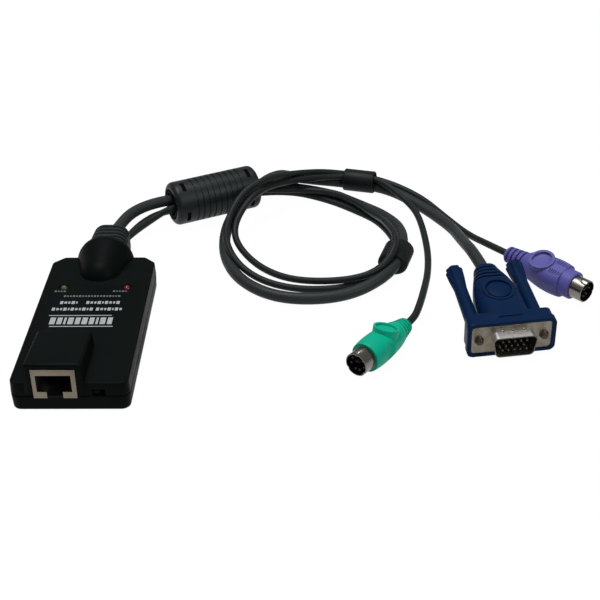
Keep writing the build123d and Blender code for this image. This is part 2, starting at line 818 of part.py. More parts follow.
left_thumb_knob = thumb_knob(-1)
left_thumb_knob.label = "left_thumb_knob"
right_thumb_knob = thumb_knob(1)
right_thumb_knob.label = "right_thumb_knob"
left_jack_screw = jack_screw(-1)
left_jack_screw.label = "left_jack_screw"
right_jack_screw = jack_screw(1)
right_jack_screw.label = "right_jack_screw"

# Round plugs: the metal skirt, insulator and pins are the same on both
din_radius = 4.7
din_root_radius = 4.85
din_root_step = 0.3
din_sheet = 0.4
din_length = 5.8
din_root = 3.0
din_pin_radius = 0.5
din_pin_length = 4.9
din_pins = [(-0.9, -2.5), (0.9, -2.5), (-2.9, -0.6), (2.9, -0.6), (-2.4, 1.9), (2.4, 1.9)]
din_insulator_height = 0.6


def din_skirt(face):
    """Metal skirt with three key slots in its rim."""
    with BuildPart() as skirt:
        with BuildSketch(face.offset(-din_root)):
            Circle(din_root_radius)
        extrude(amount=din_root + din_root_step)
        with BuildSketch(face):
            Circle(din_radius)
        extrude(amount=din_length)
        with BuildSketch(face.offset(-din_root)):
            Circle(din_radius - din_sheet)
        extrude(amount=din_root + din_length, mode=Mode.SUBTRACT)
        with BuildSketch(face.offset(din_length - 2.2)):
            for angle, width in ((90, 1.8), (215, 1.2), (325, 1.2)):
                with PolarLocations(din_radius, 1, start_angle=angle):
                    Rectangle(2.0, width)
        extrude(amount=din_length, mode=Mode.SUBTRACT)
    return skirt.part


def din_pin_set(face):
    """Six round pins with chamfered tips."""
    with BuildPart() as pins:
        with BuildSketch(face.offset(-din_root)):
            with Locations(*din_pins):
                Circle(din_pin_radius)
        extrude(amount=din_root + din_pin_length)
        tips = pins.faces().sort_by(Axis(face.origin, face.z_dir))[-len(din_pins):]
        chamfer(tips.edges(), 0.2)
    return pins.part


def din_insulator(face, pins):
    """Round block in the skirt's root, with the plastic key between the pins."""
    with BuildPart() as block:
        with BuildSketch(face.offset(-din_root)):
            Circle(din_radius - din_sheet)
        extrude(amount=din_root + din_insulator_height)
        with BuildSketch(face):
            with Locations((0, 1.2)):
                Rectangle(2.2, 1.3)
        extrude(amount=din_pin_length)
        add(pins, mode=Mode.SUBTRACT)
    return block.part


keyboard_skirt = din_skirt(keyboard_face)
keyboard_skirt.label = "keyboard_skirt"
keyboard_pins = din_pin_set(keyboard_face)
keyboard_pins.label = "keyboard_pins"
keyboard_insulator = din_insulator(keyboard_face, keyboard_pins)
keyboard_insulator.label = "keyboard_insulator"
mouse_skirt = din_skirt(mouse_face)
mouse_skirt.label = "mouse_skirt"
mouse_pins = din_pin_set(mouse_face)
mouse_pins.label = "mouse_pins"
mouse_insulator = din_insulator(mouse_face, mouse_pins)
mouse_insulator.label = "mouse_insulator"

# Mouse plug grip: a round nose, a waisted body with a thumb ring, a ribbed tail
mouse_nose = 6.1
mouse_grip_length = 28.4
mouse_tail_start = 20.5
mouse_tail_radius = 4.7
mouse_tail_end = 3.0
mouse_top = Plane(mouse_face.origin, x_dir=mouse_face.x_dir, z_dir=mouse_face.y_dir)
mouse_ring = Plane(mouse_top.location * Pos(0, 14.0, 5.8) * Rot(-16, 0, 0))
mouse_stations = [
    (0, 11.6, 11.6),
    (2.0, 12.2, 12.2),
    (9.0, 12.6, 11.8),
    (16.0, 11.4, 10.8),
    (mouse_tail_start + 0.5, 9.4, 9.4),
]
with BuildPart() as mouse_grip:
    for depth, width, height in mouse_stations:
        with BuildSketch(mouse_face.offset(-depth)):
            RectangleRounded(width, height, min(width, height) / 2 - 0.3)
    loft()
    with BuildSketch(side_plane(mouse_face)):
        with BuildLine():
            Polyline(
                (-mouse_tail_start, 0),
                (-mouse_tail_start, mouse_tail_radius),
                (-mouse_grip_length + 1.0, mouse_tail_end + 0.3),
                (-mouse_grip_length, mouse_tail_end - 0.6),
                (-mouse_grip_length, 0),
                close=True,
            )
        make_face()
    revolve(axis=Axis(mouse_face.origin, mouse_face.z_dir))
    for number in range(4):
        groove_depth = mouse_tail_start + 1.2 + number * 1.7
        groove_radius = mouse_tail_radius - 0.6 - number * 0.42
        with BuildSketch(mouse_face.offset(-groove_depth - 0.7)):
            Circle(mouse_nose)
            Circle(groove_radius, mode=Mode.SUBTRACT)
        extrude(amount=0.7, mode=Mode.SUBTRACT)
    # finger notches on both sides
    with BuildSketch(mouse_top.offset(-mouse_nose)):
        with Locations((-8.7, 8.2), (8.7, 8.2)):
            Circle(3.9)
    extrude(amount=2 * mouse_nose, mode=Mode.SUBTRACT)
    # thumb ring, leaning towards the tail
    with BuildSketch(mouse_ring.offset(-2.6)):
        Ellipse(5.2, 4.8)
    extrude(amount=3.1)
    with BuildSketch(mouse_ring.offset(-0.35)):
        Ellipse(4.2, 3.8)
    extrude(amount=2.0, mode=Mode.SUBTRACT)
    with BuildSketch(mouse_face.offset(-din_root)):
        Circle(din_root_radius)
    extrude(amount=din_root + 1, mode=Mode.SUBTRACT)
    mouse_grip.part.label = "mouse_grip"

# Keyboard plug grip: a stepped nose, a long body with a thumb ring and a segmented tail
keyboard_nose = 5.9
keyboard_nose_length = 5.0
keyboard_body_width = 13.6
keyboard_body_height = 12.6
keyboard_grip_length = 36.0
keyboard_tail_start = 24.5
keyboard_ring_depth = 16.4
keyboard_top = Plane(keyboard_face.origin, x_dir=keyboard_face.x_dir, z_dir=keyboard_face.y_dir)
keyboard_stations = [
    (keyboard_nose_length, 13.0, 12.2),
    (8.0, keyboard_body_width, keyboard_body_height),
    (16.0, 13.2, 12.0),
    (keyboard_tail_start, 10.0, 10.0),
]
with BuildPart() as keyboard_grip:
    for depth, width, height in keyboard_stations:
        with BuildSketch(keyboard_face.offset(-depth)):
            RectangleRounded(width, height, 4.6)
    loft()
    with BuildSketch(side_plane(keyboard_face)):
        with BuildLine():
            Polyline(
                (0, 0),
                (0, keyboard_nose - 0.5),
                (-0.5, keyboard_nose),
                (-keyboard_nose_length - 1, keyboard_nose),
                (-keyboard_nose_length - 1, 0),
                close=True,
            )
        make_face()
        with BuildLine():
            Polyline(
                (-keyboard_tail_start + 1, 0),
                (-keyboard_tail_start + 1, 4.7),
                (-keyboard_grip_length + 1.0, 3.6),
                (-keyboard_grip_length, 2.6),
                (-keyboard_grip_length, 0),
                close=True,
            )
        make_face()
    revolve(axis=Axis(keyboard_face.origin, keyboard_face.z_dir))
    for number in range(4):
        groove_depth = keyboard_tail_start + 1.3 + number * 2.4
        with BuildSketch(keyboard_face.offset(-groove_depth - 1.1)):
            Circle(keyboard_nose)
            Circle(3.5 - number * 0.25, mode=Mode.SUBTRACT)
        extrude(amount=1.1, mode=Mode.SUBTRACT)
    # two rows of short grip slots
    with BuildSketch(keyboard_top.offset(keyboard_body_height / 2 - 0.5)):
        with Locations((0, 7.9)):
            with GridLocations(7.5, 0.95, 2, 6):
                Rectangle(4.0, 0.45)
    extrude(amount=2, mode=Mode.SUBTRACT)
    # thumb ring
    with BuildSketch(keyboard_top.offset(4.5)):
        with Locations((0, keyboard_ring_depth)):
            Circle(5.4)
    extrude(amount=2.6)
    with BuildSketch(keyboard_top.offset(6.0)):
        with Locations((0, keyboard_ring_depth)):
            Circle(4.2)
    extrude(amount=2.0, mode=Mode.SUBTRACT)
    with BuildSketch(keyboard_face.offset(-din_root)):
        Circle(din_root_radius)
    extrude(amount=din_root + 1, mode=Mode.SUBTRACT)
    keyboard_grip.part.label = "keyboard_grip"

# Ferrite choke round the three cords, near the housing
choke_centre = (41.1, 107.0, 10.0)
choke_heading = 27.0
choke_radius = 10.0
choke_length = 42.0
choke_round = 2.5
choke_bore = 5.3
core_radius = 8.2
core_length = 34.0
choke_groove_count = 9
choke_groove_pitch = 2.85
choke_slot_offset = 16.0


def lying_plane(centre, heading):
    """Plane across something that lies along a heading, with x up."""
    along = (cos(radians(heading)), sin(radians(heading)), 0)
    return Plane(origin=centre, x_dir=(0, 0, 1), z_dir=along)


choke_plane = lying_plane(choke_centre, choke_heading)

# Ferrite core: a plain thick tube
with BuildPart() as ferrite_core:
    with BuildSketch(choke_plane):
        Circle(core_radius)
        Circle(choke_bore, mode=Mode.SUBTRACT)
    extrude(amount=core_length / 2, both=True)
    ferrite_core.part.label = "ferrite_core"

# Moulded cover of the core: round ends, a recess in each end face, rings and slots
with BuildPart() as ferrite_cover:
    with BuildSketch(choke_plane):
        Circle(choke_radius)
    extrude(amount=choke_length / 2, both=True)
    fillet(ferrite_cover.edges().filter_by(GeomType.CIRCLE), choke_round)
    with BuildSketch(choke_plane):
        Circle(choke_bore)
    extrude(amount=choke_length, both=True, mode=Mode.SUBTRACT)
    with BuildSketch(choke_plane):
        Circle(core_radius)
    extrude(amount=core_length / 2, both=True, mode=Mode.SUBTRACT)
    for side in (-1, 1):
        with BuildSketch(choke_plane.offset(side * (choke_length / 2 - 0.6))):
            Circle(7.2)
            Circle(6.3, mode=Mode.SUBTRACT)
        extrude(amount=side * 2, mode=Mode.SUBTRACT)
        with BuildSketch(choke_plane.offset(side * choke_slot_offset - 0.9)):
            with PolarLocations(choke_radius, 4, start_angle=-17):
                Rectangle(1.6, 5.4)
        extrude(amount=1.8, mode=Mode.SUBTRACT)
    for number in range(choke_groove_count):
        groove_middle = (number - (choke_groove_count - 1) / 2) * choke_groove_pitch
        with BuildSketch(choke_plane.offset(groove_middle - 0.4)):
            Circle(choke_radius + 1)
            Circle(choke_radius - 0.4, mode=Mode.SUBTRACT)
        extrude(amount=0.8, mode=Mode.SUBTRACT)
    ferrite_cover.part.label = "ferrite_cover"

# Sleeves that gather the cords
sleeve_radius = 5.3
sleeve_length = 15.0
three_cord_bore = 4.8
two_cord_bore = 4.35


def cable_sleeve(centre, heading, bore):
    """Short plain barrel with softened rims."""
    plane = lying_plane(centre, heading)
    with BuildPart() as barrel_sleeve:
        with BuildSketch(plane):
            Circle(sleeve_radius)
        extrude(amount=sleeve_length / 2, both=True)
        chamfer(barrel_sleeve.edges().filter_by(GeomType.CIRCLE), 0.4)
        with BuildSketch(plane):
            Circle(bore)
        extrude(amount=sleeve_length, both=True, mode=Mode.SUBTRACT)
    return barrel_sleeve.part


rear_sleeve = cable_sleeve((110.3, 130.9, sleeve_radius), -14.5, three_cord_bore)
rear_sleeve.label = "rear_sleeve"
front_sleeve = cable_sleeve((123.8, 57.0, sleeve_radius), -106.8, two_cord_bore)
front_sleeve.label = "front_sleeve"

# Cords: corner points of the straight runs between the strain relief and each plug
run_share = 0.45
vga_corners = [
    (6.4, 86.0, 12.6),
    (17.0, 96.0, 12.3),
    (29.6, 102.8, 10.4),
    (49.9, 113.2, 11.9),
    (74.5, 126.7, 4.5),
    (97.2, 122.2, 2.5),
    (110.2, 110.0, 2.6),
    (121.8, 97.6, 3.2),
    (127.6, 75.9, 7.2),
    (125.2, 55.9, 6.7),
    (118.3, 39.2, 6.0),
    (100.4, 27.5, 3.0),
    (74.7, 26.7, 2.6),
    (57.2, 39.1, 3.2),
    (48.2, 63.0, 2.3),
    (48.3, 83.2, 6.5),
    (55.4, 95.6, 12.7),
    (69.3, 113.5, 18.2),
    (81.8, 129.7, 7.2),
    (103.5, 133.8, 3.0),
    (123.0, 125.8, 3.9),
    (137.0, 112.1, 2.5),
    (150.6, 88.9, 2.6),
    (152.9, 68.6, 5.9),
]
keyboard_corners = [
    (9.8, 84.7, 7.1),
    (17.7, 94.2, 7.7),
    (31.4, 100.9, 6.9),
    (48.5, 109.6, 8.4),
    (75.7, 122.2, 4.5),
    (94.7, 118.4, 1.5),
    (107.7, 106.7, 1.6),
    (118.9, 94.2, 1.9),
    (125.5, 69.4, 3.2),
    (123.4, 55.9, 2.6),
    (115.7, 42.5, 3.6),
    (99.2, 36.6, 1.5),
    (77.6, 37.5, 1.6),
    (61.1, 49.4, 2.3),
    (49.8, 63.6, 6.5),
    (48.7, 81.2, 10.4),
    (56.3, 95.9, 18.4),
    (68.3, 104.0, 20.9),
    (82.7, 125.5, 12.5),
    (96.3, 135.4, 8.1),
    (119.5, 132.3, 5.9),
    (138.4, 118.9, 3.2),
    (149.6, 99.2, 1.4),
    (157.3, 82.4, 2.0),
]
mouse_corners = [
    (14.0, 83.8, 8.7),
    (21.6, 94.0, 9.8),
    (33.4, 99.6, 9.7),
    (49.9, 108.8, 11.6),
    (76.0, 119.6, 6.3),
    (96.9, 118.6, 5.9),
    (107.9, 108.1, 5.5),
    (116.1, 94.3, 5.7),
    (118.0, 79.2, 11.1),
    (121.2, 56.6, 15.1),
    (117.8, 44.1, 9.0),
    (106.0, 36.8, 5.8),
    (81.1, 41.6, 2.0),
    (64.8, 53.0, 1.6),
    (53.3, 70.9, 3.8),
    (52.1, 82.1, 8.6),
    (59.5, 93.0, 16.4),
    (69.8, 107.8, 15.7),
    (93.2, 130.3, 7.9),
    (110.7, 130.9, 7.5),
    (120.2, 125.9, 8.1),
    (132.5, 109.8, 4.6),
    (136.8, 96.1, 3.5),
    (138.0, 70.4, 1.4),
    (136.7, 46.0, 2.1),
    (131.4, 27.2, 5.0),
]


def cord_points(place, first_run, corners, face, grip, last_run):
    """All points of a cord, from its seat in the strain relief to the tail of its plug."""
    seat = exit_plane(*place)
    tail = face.origin - face.z_dir * grip
    return [
        seat.origin,
        seat.origin + seat.z_dir * first_run,
        *[Vector(*corner) for corner in corners],
        tail - face.z_dir * last_run,
        tail,
    ]


def bend_radii(points):
    """Radius of each bend: its arc takes the same share of the shorter run beside it."""
    radii = []
    for before, corner, after in zip(points, points[1:], points[2:]):
        inward = corner - before
        outward = after - corner
        half_turn = radians(inward.get_angle(outward)) / 2
        radii.append(run_share * min(inward.length, outward.length) / tan(half_turn))
    return radii


def cord(name, points, diameter):
    """Round cord along its points, with its bends, length and volume printed."""
    radii = bend_radii(points)
    with BuildPart() as tube:
        with BuildLine() as centre_line:
            FilletPolyline(*points, radius=radii)
        with BuildSketch(Plane(origin=points[0], z_dir=points[1] - points[0])):
            Circle(diameter / 2)
        sweep()
    length = centre_line.wire().length
    section = pi * diameter**2 / 4
    print(name, "bend radii", [round(radius, 1) for radius in radii])
    print(name, "length", round(length, 1), "volume ratio", round(tube.part.volume / (section * length), 4))
    tube.part.label = name
    return tube.part


vga_points = cord_points(vga_exit, 12.9, vga_corners, vga_face, grip_length, 15.3)
vga_cord = cord("vga_cord", vga_points, thick_cord)
keyboard_points = cord_points(
    keyboard_exit, 12.5, keyboard_corners, keyboard_face, keyboard_grip_length, 11.0
)
keyboard_cord = cord("keyboard_cord", keyboard_points, thin_cord)
mouse_points = cord_points(mouse_exit, 12.4, mouse_corners, mouse_face, mouse_grip_length, 11.1)
mouse_cord = cord("mouse_cord", mouse_points, thin_cord)

export_step(bottom_shell.part, "parts/bottom_shell.step")
export_step(top_shell.part, "parts/top_shell.step")
export_step(housing_screws.part, "parts/housing_screws.step")
export_step(circuit_board.part, "parts/circuit_board.step")
export_step(controller_chip.part, "parts/controller_chip.step")
export_step(driver_chips.part, "parts/driver_chips.step")
export_step(crystal_can.part, "parts/crystal_can.step")
export_step(capacitors.part, "parts/capacitors.step")
export_step(wire_headers.part, "parts/wire_headers.step")
export_step(rj45_shield.part, "parts/rj45_shield.step")
export_step(rj45_contacts.part, "parts/rj45_contacts.step")
export_step(rj45_insert.part, "parts/rj45_insert.step")
export_step(switch_case.part, "parts/switch_case.step")
export_step(switch_knob.part, "parts/switch_knob.step")
export_step(strain_relief.part, "parts/strain_relief.step")
export_step(vga_shell.part, "parts/vga_shell.step")
export_step(vga_pins.part, "parts/vga_pins.step")
export_step(vga_insulator.part, "parts/vga_insulator.step")
export_step(vga_hood.part, "parts/vga_hood.step")
export_step(mouse_grip.part, "parts/mouse_grip.step")
export_step(keyboard_grip.part, "parts/keyboard_grip.step")
export_step(ferrite_core.part, "parts/ferrite_core.step")
export_step(ferrite_cover.part, "parts/ferrite_cover.step")
export_step(green_lamp, "parts/green_lamp.step")
export_step(red_lamp, "parts/red_lamp.step")
export_step(left_thumb_knob, "parts/left_thumb_knob.step")
export_step(right_thumb_knob, "parts/right_thumb_knob.step")
export_step(left_jack_screw, "parts/left_jack_screw.step")
export_step(right_jack_screw, "parts/right_jack_screw.step")
export_step(keyboard_skirt, "parts/keyboard_skirt.step")
export_step(keyboard_pins, "parts/keyboard_pins.step")
export_step(keyboard_insulator, "parts/keyboard_insulator.step")
export_step(mouse_skirt, "parts/mouse_skirt.step")
export_step(mouse_pins, "parts/mouse_pins.step")
export_step(mouse_insulator, "parts/mouse_insulator.step")
export_step(rear_sleeve, "parts/rear_sleeve.step")
export_step(front_sleeve, "parts/front_sleeve.step")
export_step(vga_cord, "parts/vga_cord.step")
export_step(keyboard_cord, "parts/keyboard_cord.step")
export_step(mouse_cord, "parts/mouse_cord.step")
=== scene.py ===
import bpy
import bmesh
from math import cos, pi, radians, sin
from mathutils import Matrix, Vector


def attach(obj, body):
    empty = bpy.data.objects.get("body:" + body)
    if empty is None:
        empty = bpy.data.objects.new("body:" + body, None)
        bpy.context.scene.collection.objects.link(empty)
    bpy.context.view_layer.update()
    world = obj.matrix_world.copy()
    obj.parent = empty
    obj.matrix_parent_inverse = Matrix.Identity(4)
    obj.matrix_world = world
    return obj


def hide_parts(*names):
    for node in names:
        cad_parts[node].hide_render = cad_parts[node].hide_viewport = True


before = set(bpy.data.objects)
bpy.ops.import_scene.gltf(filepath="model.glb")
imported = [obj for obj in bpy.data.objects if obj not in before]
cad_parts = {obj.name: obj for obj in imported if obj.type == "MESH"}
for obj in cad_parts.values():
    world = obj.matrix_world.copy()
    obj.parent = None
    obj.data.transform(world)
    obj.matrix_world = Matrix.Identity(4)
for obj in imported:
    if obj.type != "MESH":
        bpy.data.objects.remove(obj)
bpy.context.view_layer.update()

# Housing shells.
# Two halves moulded in black ABS with a fine spark-eroded texture on the outside,
# worn a little brighter in patches; the halves are drawn together by screws.
grain_scale = 2600.0
grain_depth = 0.00003
roughness_spread = 0.12
shell_edge = 0.00022
weld_distance = 0.000002
sharp_angle = radians(35)


def number_socket(group, name, default, low=0.0, high=1.0):
    socket = group.interface.new_socket(name, in_out="INPUT", socket_type="NodeSocketFloat")
    socket.default_value = default
    socket.min_value = low
    socket.max_value = high
    return socket


def colour_socket(group, name, default):
    socket = group.interface.new_socket(name, in_out="INPUT", socket_type="NodeSocketColor")
    socket.default_value = default
    return socket


def surface_outputs(group):
    """The three results of a surface group."""
    group.interface.new_socket("Colour", in_out="OUTPUT", socket_type="NodeSocketColor")
    group.interface.new_socket("Roughness", in_out="OUTPUT", socket_type="NodeSocketFloat")
    group.interface.new_socket("Normal", in_out="OUTPUT", socket_type="NodeSocketVector")


def patchy_colour(group, given, result, cloud, amount_name, other_name, low, high):
    """Mixes the group's Colour with its other colour where the cloud is bright."""
    nodes = group.nodes
    links = group.links
    patches = nodes.new("ShaderNodeMapRange")
    patches.inputs["From Min"].default_value = low
    patches.inputs["From Max"].default_value = high
    links.new(cloud.outputs["Fac"], patches.inputs["Value"])
    amount = nodes.new("ShaderNodeMath")
    amount.operation = "MULTIPLY"
    links.new(patches.outputs["Result"], amount.inputs[0])
    links.new(given.outputs[amount_name], amount.inputs[1])
    mix = nodes.new("ShaderNodeMix")
    mix.data_type = "RGBA"
    links.new(amount.outputs["Value"], mix.inputs["Factor"])
    links.new(given.outputs["Colour"], mix.inputs["A"])
    links.new(given.outputs[other_name], mix.inputs["B"])
    links.new(mix.outputs["Result"], result.inputs["Colour"])
    return patches


def relief_normal(group, given, result, strength_name, height, distance):
    """Turns a height into the group's Normal."""
    bump = group.nodes.new("ShaderNodeBump")
    bump.inputs["Distance"].default_value = distance
    group.links.new(given.outputs[strength_name], bump.inputs["Strength"])
    group.links.new(height.outputs["Fac"], bump.inputs["Height"])
    group.links.new(bump.outputs["Normal"], result.inputs["Normal"])


def moulded_surface_group():
    """Colour, roughness and normal of a moulded plastic or rubber skin."""
    group = bpy.data.node_groups.new("moulded_surface", "ShaderNodeTree")
    colour_socket(group, "Colour", (0.5, 0.5, 0.5, 1))
    colour_socket(group, "Dust Colour", (0.6, 0.6, 0.6, 1))
    number_socket(group, "Dust", 0.3)
    number_socket(group, "Roughness", 0.5)
    number_socket(group, "Roughness Spread", 0.1)
    number_socket(group, "Grain Scale", 2000.0, 0.0, 20000.0)
    number_socket(group, "Grain Strength", 0.2)
    number_socket(group, "Patch Scale", 60.0, 0.0, 5000.0)
    surface_outputs(group)
    nodes = group.nodes
    links = group.links
    given = nodes.new("NodeGroupInput")
    result = nodes.new("NodeGroupOutput")
    place = nodes.new("ShaderNodeTexCoord")
    cloud = nodes.new("ShaderNodeTexNoise")
    cloud.inputs["Detail"].default_value = 5.0
    cloud.inputs["Roughness"].default_value = 0.6
    links.new(place.outputs["Object"], cloud.inputs["Vector"])
    links.new(given.outputs["Patch Scale"], cloud.inputs["Scale"])
    patches = patchy_colour(group, given, result, cloud, "Dust", "Dust Colour", low=0.35, high=0.75)
    grain = nodes.new("ShaderNodeTexNoise")
    grain.inputs["Detail"].default_value = 3.0
    grain.inputs["Roughness"].default_value = 0.7
    links.new(place.outputs["Object"], grain.inputs["Vector"])
    links.new(given.outputs["Grain Scale"], grain.inputs["Scale"])
    swing = nodes.new("ShaderNodeMath")
    swing.operation = "MULTIPLY_ADD"
    links.new(patches.outputs["Result"], swing.inputs[0])
    links.new(given.outputs["Roughness Spread"], swing.inputs[1])
    links.new(given.outputs["Roughness"], swing.inputs[2])
    links.new(swing.outputs["Value"], result.inputs["Roughness"])
    relief_normal(group, given, result, "Grain Strength", grain, grain_depth)
    return group


moulded_surface = moulded_surface_group()


def new_material(name):
    material = bpy.data.materials.new(name)
    material.use_nodes = True
    tree = material.node_tree
    return material, tree.nodes, tree.links, tree.nodes["Principled BSDF"]


def surface_material(name, surface, settings):
    """A material that takes its colour, roughness and normal from a surface group."""
    material, nodes, links, shader = new_material(name)
    skin = nodes.new("ShaderNodeGroup")
    skin.node_tree = surface
    for socket, value in settings.items():
        skin.inputs[socket].default_value = value
    links.new(skin.outputs["Colour"], shader.inputs["Base Color"])
    links.new(skin.outputs["Roughness"], shader.inputs["Roughness"])
    links.new(skin.outputs["Normal"], shader.inputs["Normal"])
    return material, shader


def moulded_material(
    name, colour, dust_colour, roughness, dust=0.35, grain=0.25, patch=70.0, specular=0.5
):
    material, shader = surface_material(name, moulded_surface, {
        "Colour": colour,
        "Dust Colour": dust_colour,
        "Dust": dust,
        "Roughness": roughness,
        "Roughness Spread": roughness_spread,
        "Grain Scale": grain_scale,
        "Grain Strength": grain,
        "Patch Scale": patch,
    })
    shader.inputs["Specular IOR Level"].default_value = specular
    return material


def dress(name, material, soft=0.0):
    """Gives a CAD node its material and, where soft is a width, slightly rounded edges.

    With soft at None the mesh keeps the normals that came with it.
    """
    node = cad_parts[name]
    node.data.materials.clear()
    node.data.materials.append(material)
    if soft is None:
        return node
    for polygon in node.data.polygons:
        polygon.use_smooth = True
    weld = node.modifiers.new("weld", "WELD")
    weld.merge_threshold = weld_distance
    if soft:
        bevel = node.modifiers.new("soft_edges", "BEVEL")
        bevel.width = soft
        bevel.segments = 2
        bevel.limit_method = "ANGLE"
        bevel.angle_limit = sharp_angle
        bevel.harden_normals = True
        bevel.use_clamp_overlap = True
    else:
        node.data.set_sharp_from_angle(angle=sharp_angle)
    return node


black_shell = moulded_material(
    "black_shell",
    (0.0013, 0.0026, 0.0023, 1),
    (0.0025, 0.0042, 0.0038, 1),
    0.45,
    dust=0.3,
    grain=0.5,
    specular=0.035,
)
dress("bottom_shell", black_shell, shell_edge)
dress("top_shell", black_shell, shell_edge)

# Print on the lid.
# Thin pads of pale ink pressed on the finished shell: a framed row of blocks, rows of small
# blocks behind it and a short row beside each lamp.
ink_thickness = 0.00002
lid_top = 0.0118
ink_look = {"roughness": 0.5, "dust": 0.6, "patch": 900.0, "specular": 0.2}
pale_ink = moulded_material("pale_ink", (0.33, 0.35, 0.36, 1), (0.17, 0.18, 0.19, 1), **ink_look)
dim_ink = moulded_material("dim_ink", (0.12, 0.125, 0.13, 1), (0.06, 0.063, 0.065, 1), **ink_look)


def print_marks(name, ink, marks):
    """Thin ink pads on the lid, each given as its middle, width and length."""
    mesh = bpy.data.meshes.new(name)
    pads = bmesh.new()
    for x, y, width, length in marks:
        place = Matrix.Translation((x, y, lid_top + ink_thickness / 2))
        size = Matrix.Diagonal((width, length, ink_thickness, 1))
        bmesh.ops.create_cube(pads, size=1.0, matrix=place @ size)
    pads.to_mesh(mesh)
    pads.free()
    mesh.materials.append(ink)
    piece = bpy.data.objects.new(name, mesh)
    bpy.context.scene.collection.objects.link(piece)
    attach(piece, "root")


def block_row(x_from, x_to, y, widths, height, gap, shares=(1.0, 0.74, 0.74, 1.0, 0.74)):
    """A row of blocks of changing width and height between two places on the lid."""
    marks = []
    x = x_from
    while x < x_to:
        width = widths[len(marks) % len(widths)]
        marks.append((x + width / 2, y, width, height * shares[len(marks) % len(shares)]))
        x += width + gap
    return marks


frame_line = 0.0005
frame_width = 0.0244
name_blocks = (0.0021, 0.0019, 0.0009, 0.0021, 0.0019)
name_height = 0.0047
name_gap = 0.0007
print_marks("framed_blocks", pale_ink, [
    (-0.0029, 0.0007, frame_width, frame_line),
    (-0.0015, -0.007, frame_width, frame_line),
    *block_row(-0.0141, 0.0096, -0.0031, name_blocks, name_height, name_gap, shares=(1.0,)),
])

small_blocks = (0.0012, 0.001, 0.0008, 0.0013, 0.0006)
small_height = 0.0021
small_gap = 0.0005
small_rows = (
    (-0.0149, 0.0004, 0.0053),
    (0.0024, 0.0124, 0.0053),
    (-0.0125, -0.0052, 0.0101),
    (-0.0022, 0.0112, 0.0101),
)
print_marks("upper_row", pale_ink, [
    mark
    for x_from, x_to, y in small_rows
    for mark in block_row(x_from, x_to, y, small_blocks, small_height, small_gap)
])

fine_blocks = (0.0009, 0.0007, 0.0008)
fine_gap = 0.0004
fine_rows = (
    (-0.0119, 0.0101, 0.0149, 0.0012),
    (-0.0163, -0.0118, 0.0186, 0.001),
    (0.0071, 0.0131, 0.0186, 0.001),
)
print_marks("lower_row", dim_ink, [
    mark
    for x_from, x_to, y, height in fine_rows
    for mark in block_row(x_from, x_to, y, fine_blocks, height, fine_gap)
])

# Housing screws.
# Zinc plated self-tapping screws in the four counterbores of the bottom shell.
streak_depth = 0.00002
streak_stretch = (1.0, 1.0, 0.08)
streak_spread = 0.14


def streaked_metal_group():
    """Colour, roughness and normal of a metal with fine streaks."""
    group = bpy.data.node_groups.new("streaked_metal", "ShaderNodeTree")
    colour_socket(group, "Colour", (0.6, 0.6, 0.6, 1))
    colour_socket(group, "Tarnish", (0.3, 0.28, 0.25, 1))
    number_socket(group, "Tarnish Amount", 0.3)
    number_socket(group, "Roughness", 0.3)
    number_socket(group, "Streak Scale", 900.0, 0.0, 20000.0)
    number_socket(group, "Streak Strength", 0.15)
    surface_outputs(group)
    nodes = group.nodes
    links = group.links
    given = nodes.new("NodeGroupInput")
    result = nodes.new("NodeGroupOutput")
    place = nodes.new("ShaderNodeTexCoord")
    cloud = nodes.new("ShaderNodeTexNoise")
    cloud.inputs["Scale"].default_value = 260.0
    cloud.inputs["Detail"].default_value = 4.0
    links.new(place.outputs["Object"], cloud.inputs["Vector"])
    patchy_colour(group, given, result, cloud, "Tarnish Amount", "Tarnish", low=0.4, high=0.8)
    stretch = nodes.new("ShaderNodeMapping")
    stretch.inputs["Scale"].default_value = streak_stretch
    links.new(place.outputs["Object"], stretch.inputs["Vector"])
    streaks = nodes.new("ShaderNodeTexNoise")
    streaks.inputs["Detail"].default_value = 3.0
    links.new(stretch.outputs["Vector"], streaks.inputs["Vector"])
    links.new(given.outputs["Streak Scale"], streaks.inputs["Scale"])
    swing = nodes.new("ShaderNodeMath")
    swing.operation = "MULTIPLY_ADD"
    swing.inputs[1].default_value = streak_spread
    links.new(streaks.outputs["Fac"], swing.inputs[0])
    links.new(given.outputs["Roughness"], swing.inputs[2])
    links.new(swing.outputs["Value"], result.inputs["Roughness"])
    relief_normal(group, given, result, "Streak Strength", streaks, streak_depth)
    return group


streaked_metal = streaked_metal_group()


def metal_material(name, colour, tarnish, roughness, tarnish_amount=0.3, streaks=0.15):
    material, shader = surface_material(name, streaked_metal, {
        "Colour": colour,
        "Tarnish": tarnish,
        "Tarnish Amount": tarnish_amount,
        "Roughness": roughness,
        "Streak Strength": streaks,
    })
    shader.inputs["Metallic"].default_value = 1.0
    return material


zinc_steel = metal_material("zinc_steel", (0.5, 0.49, 0.47, 1), (0.25, 0.24, 0.22, 1), 0.3)
dress("housing_screws", zinc_steel)

# Circuit board and what is soldered on it.
# Glass fibre board with green lacquer; chips, crystal, capacitors and wire sockets.
green_board = moulded_material("green_board", (0.01, 0.09, 0.03, 1), (0.02, 0.14, 0.05, 1), 0.35)
chip_black = moulded_material("chip_black", (0.012, 0.012, 0.012, 1), (0.03, 0.03, 0.03, 1), 0.5)
can_tin = metal_material("can_tin", (0.62, 0.61, 0.58, 1), (0.4, 0.39, 0.36, 1), 0.25)
ivory_nylon = moulded_material("ivory_nylon", (0.6, 0.55, 0.42, 1), (0.5, 0.45, 0.34, 1), 0.45)
dress("circuit_board", green_board)
dress("controller_chip", chip_black)
dress("driver_chips", chip_black)
dress("crystal_can", can_tin)
dress("capacitors", can_tin)
dress("wire_headers", ivory_nylon)

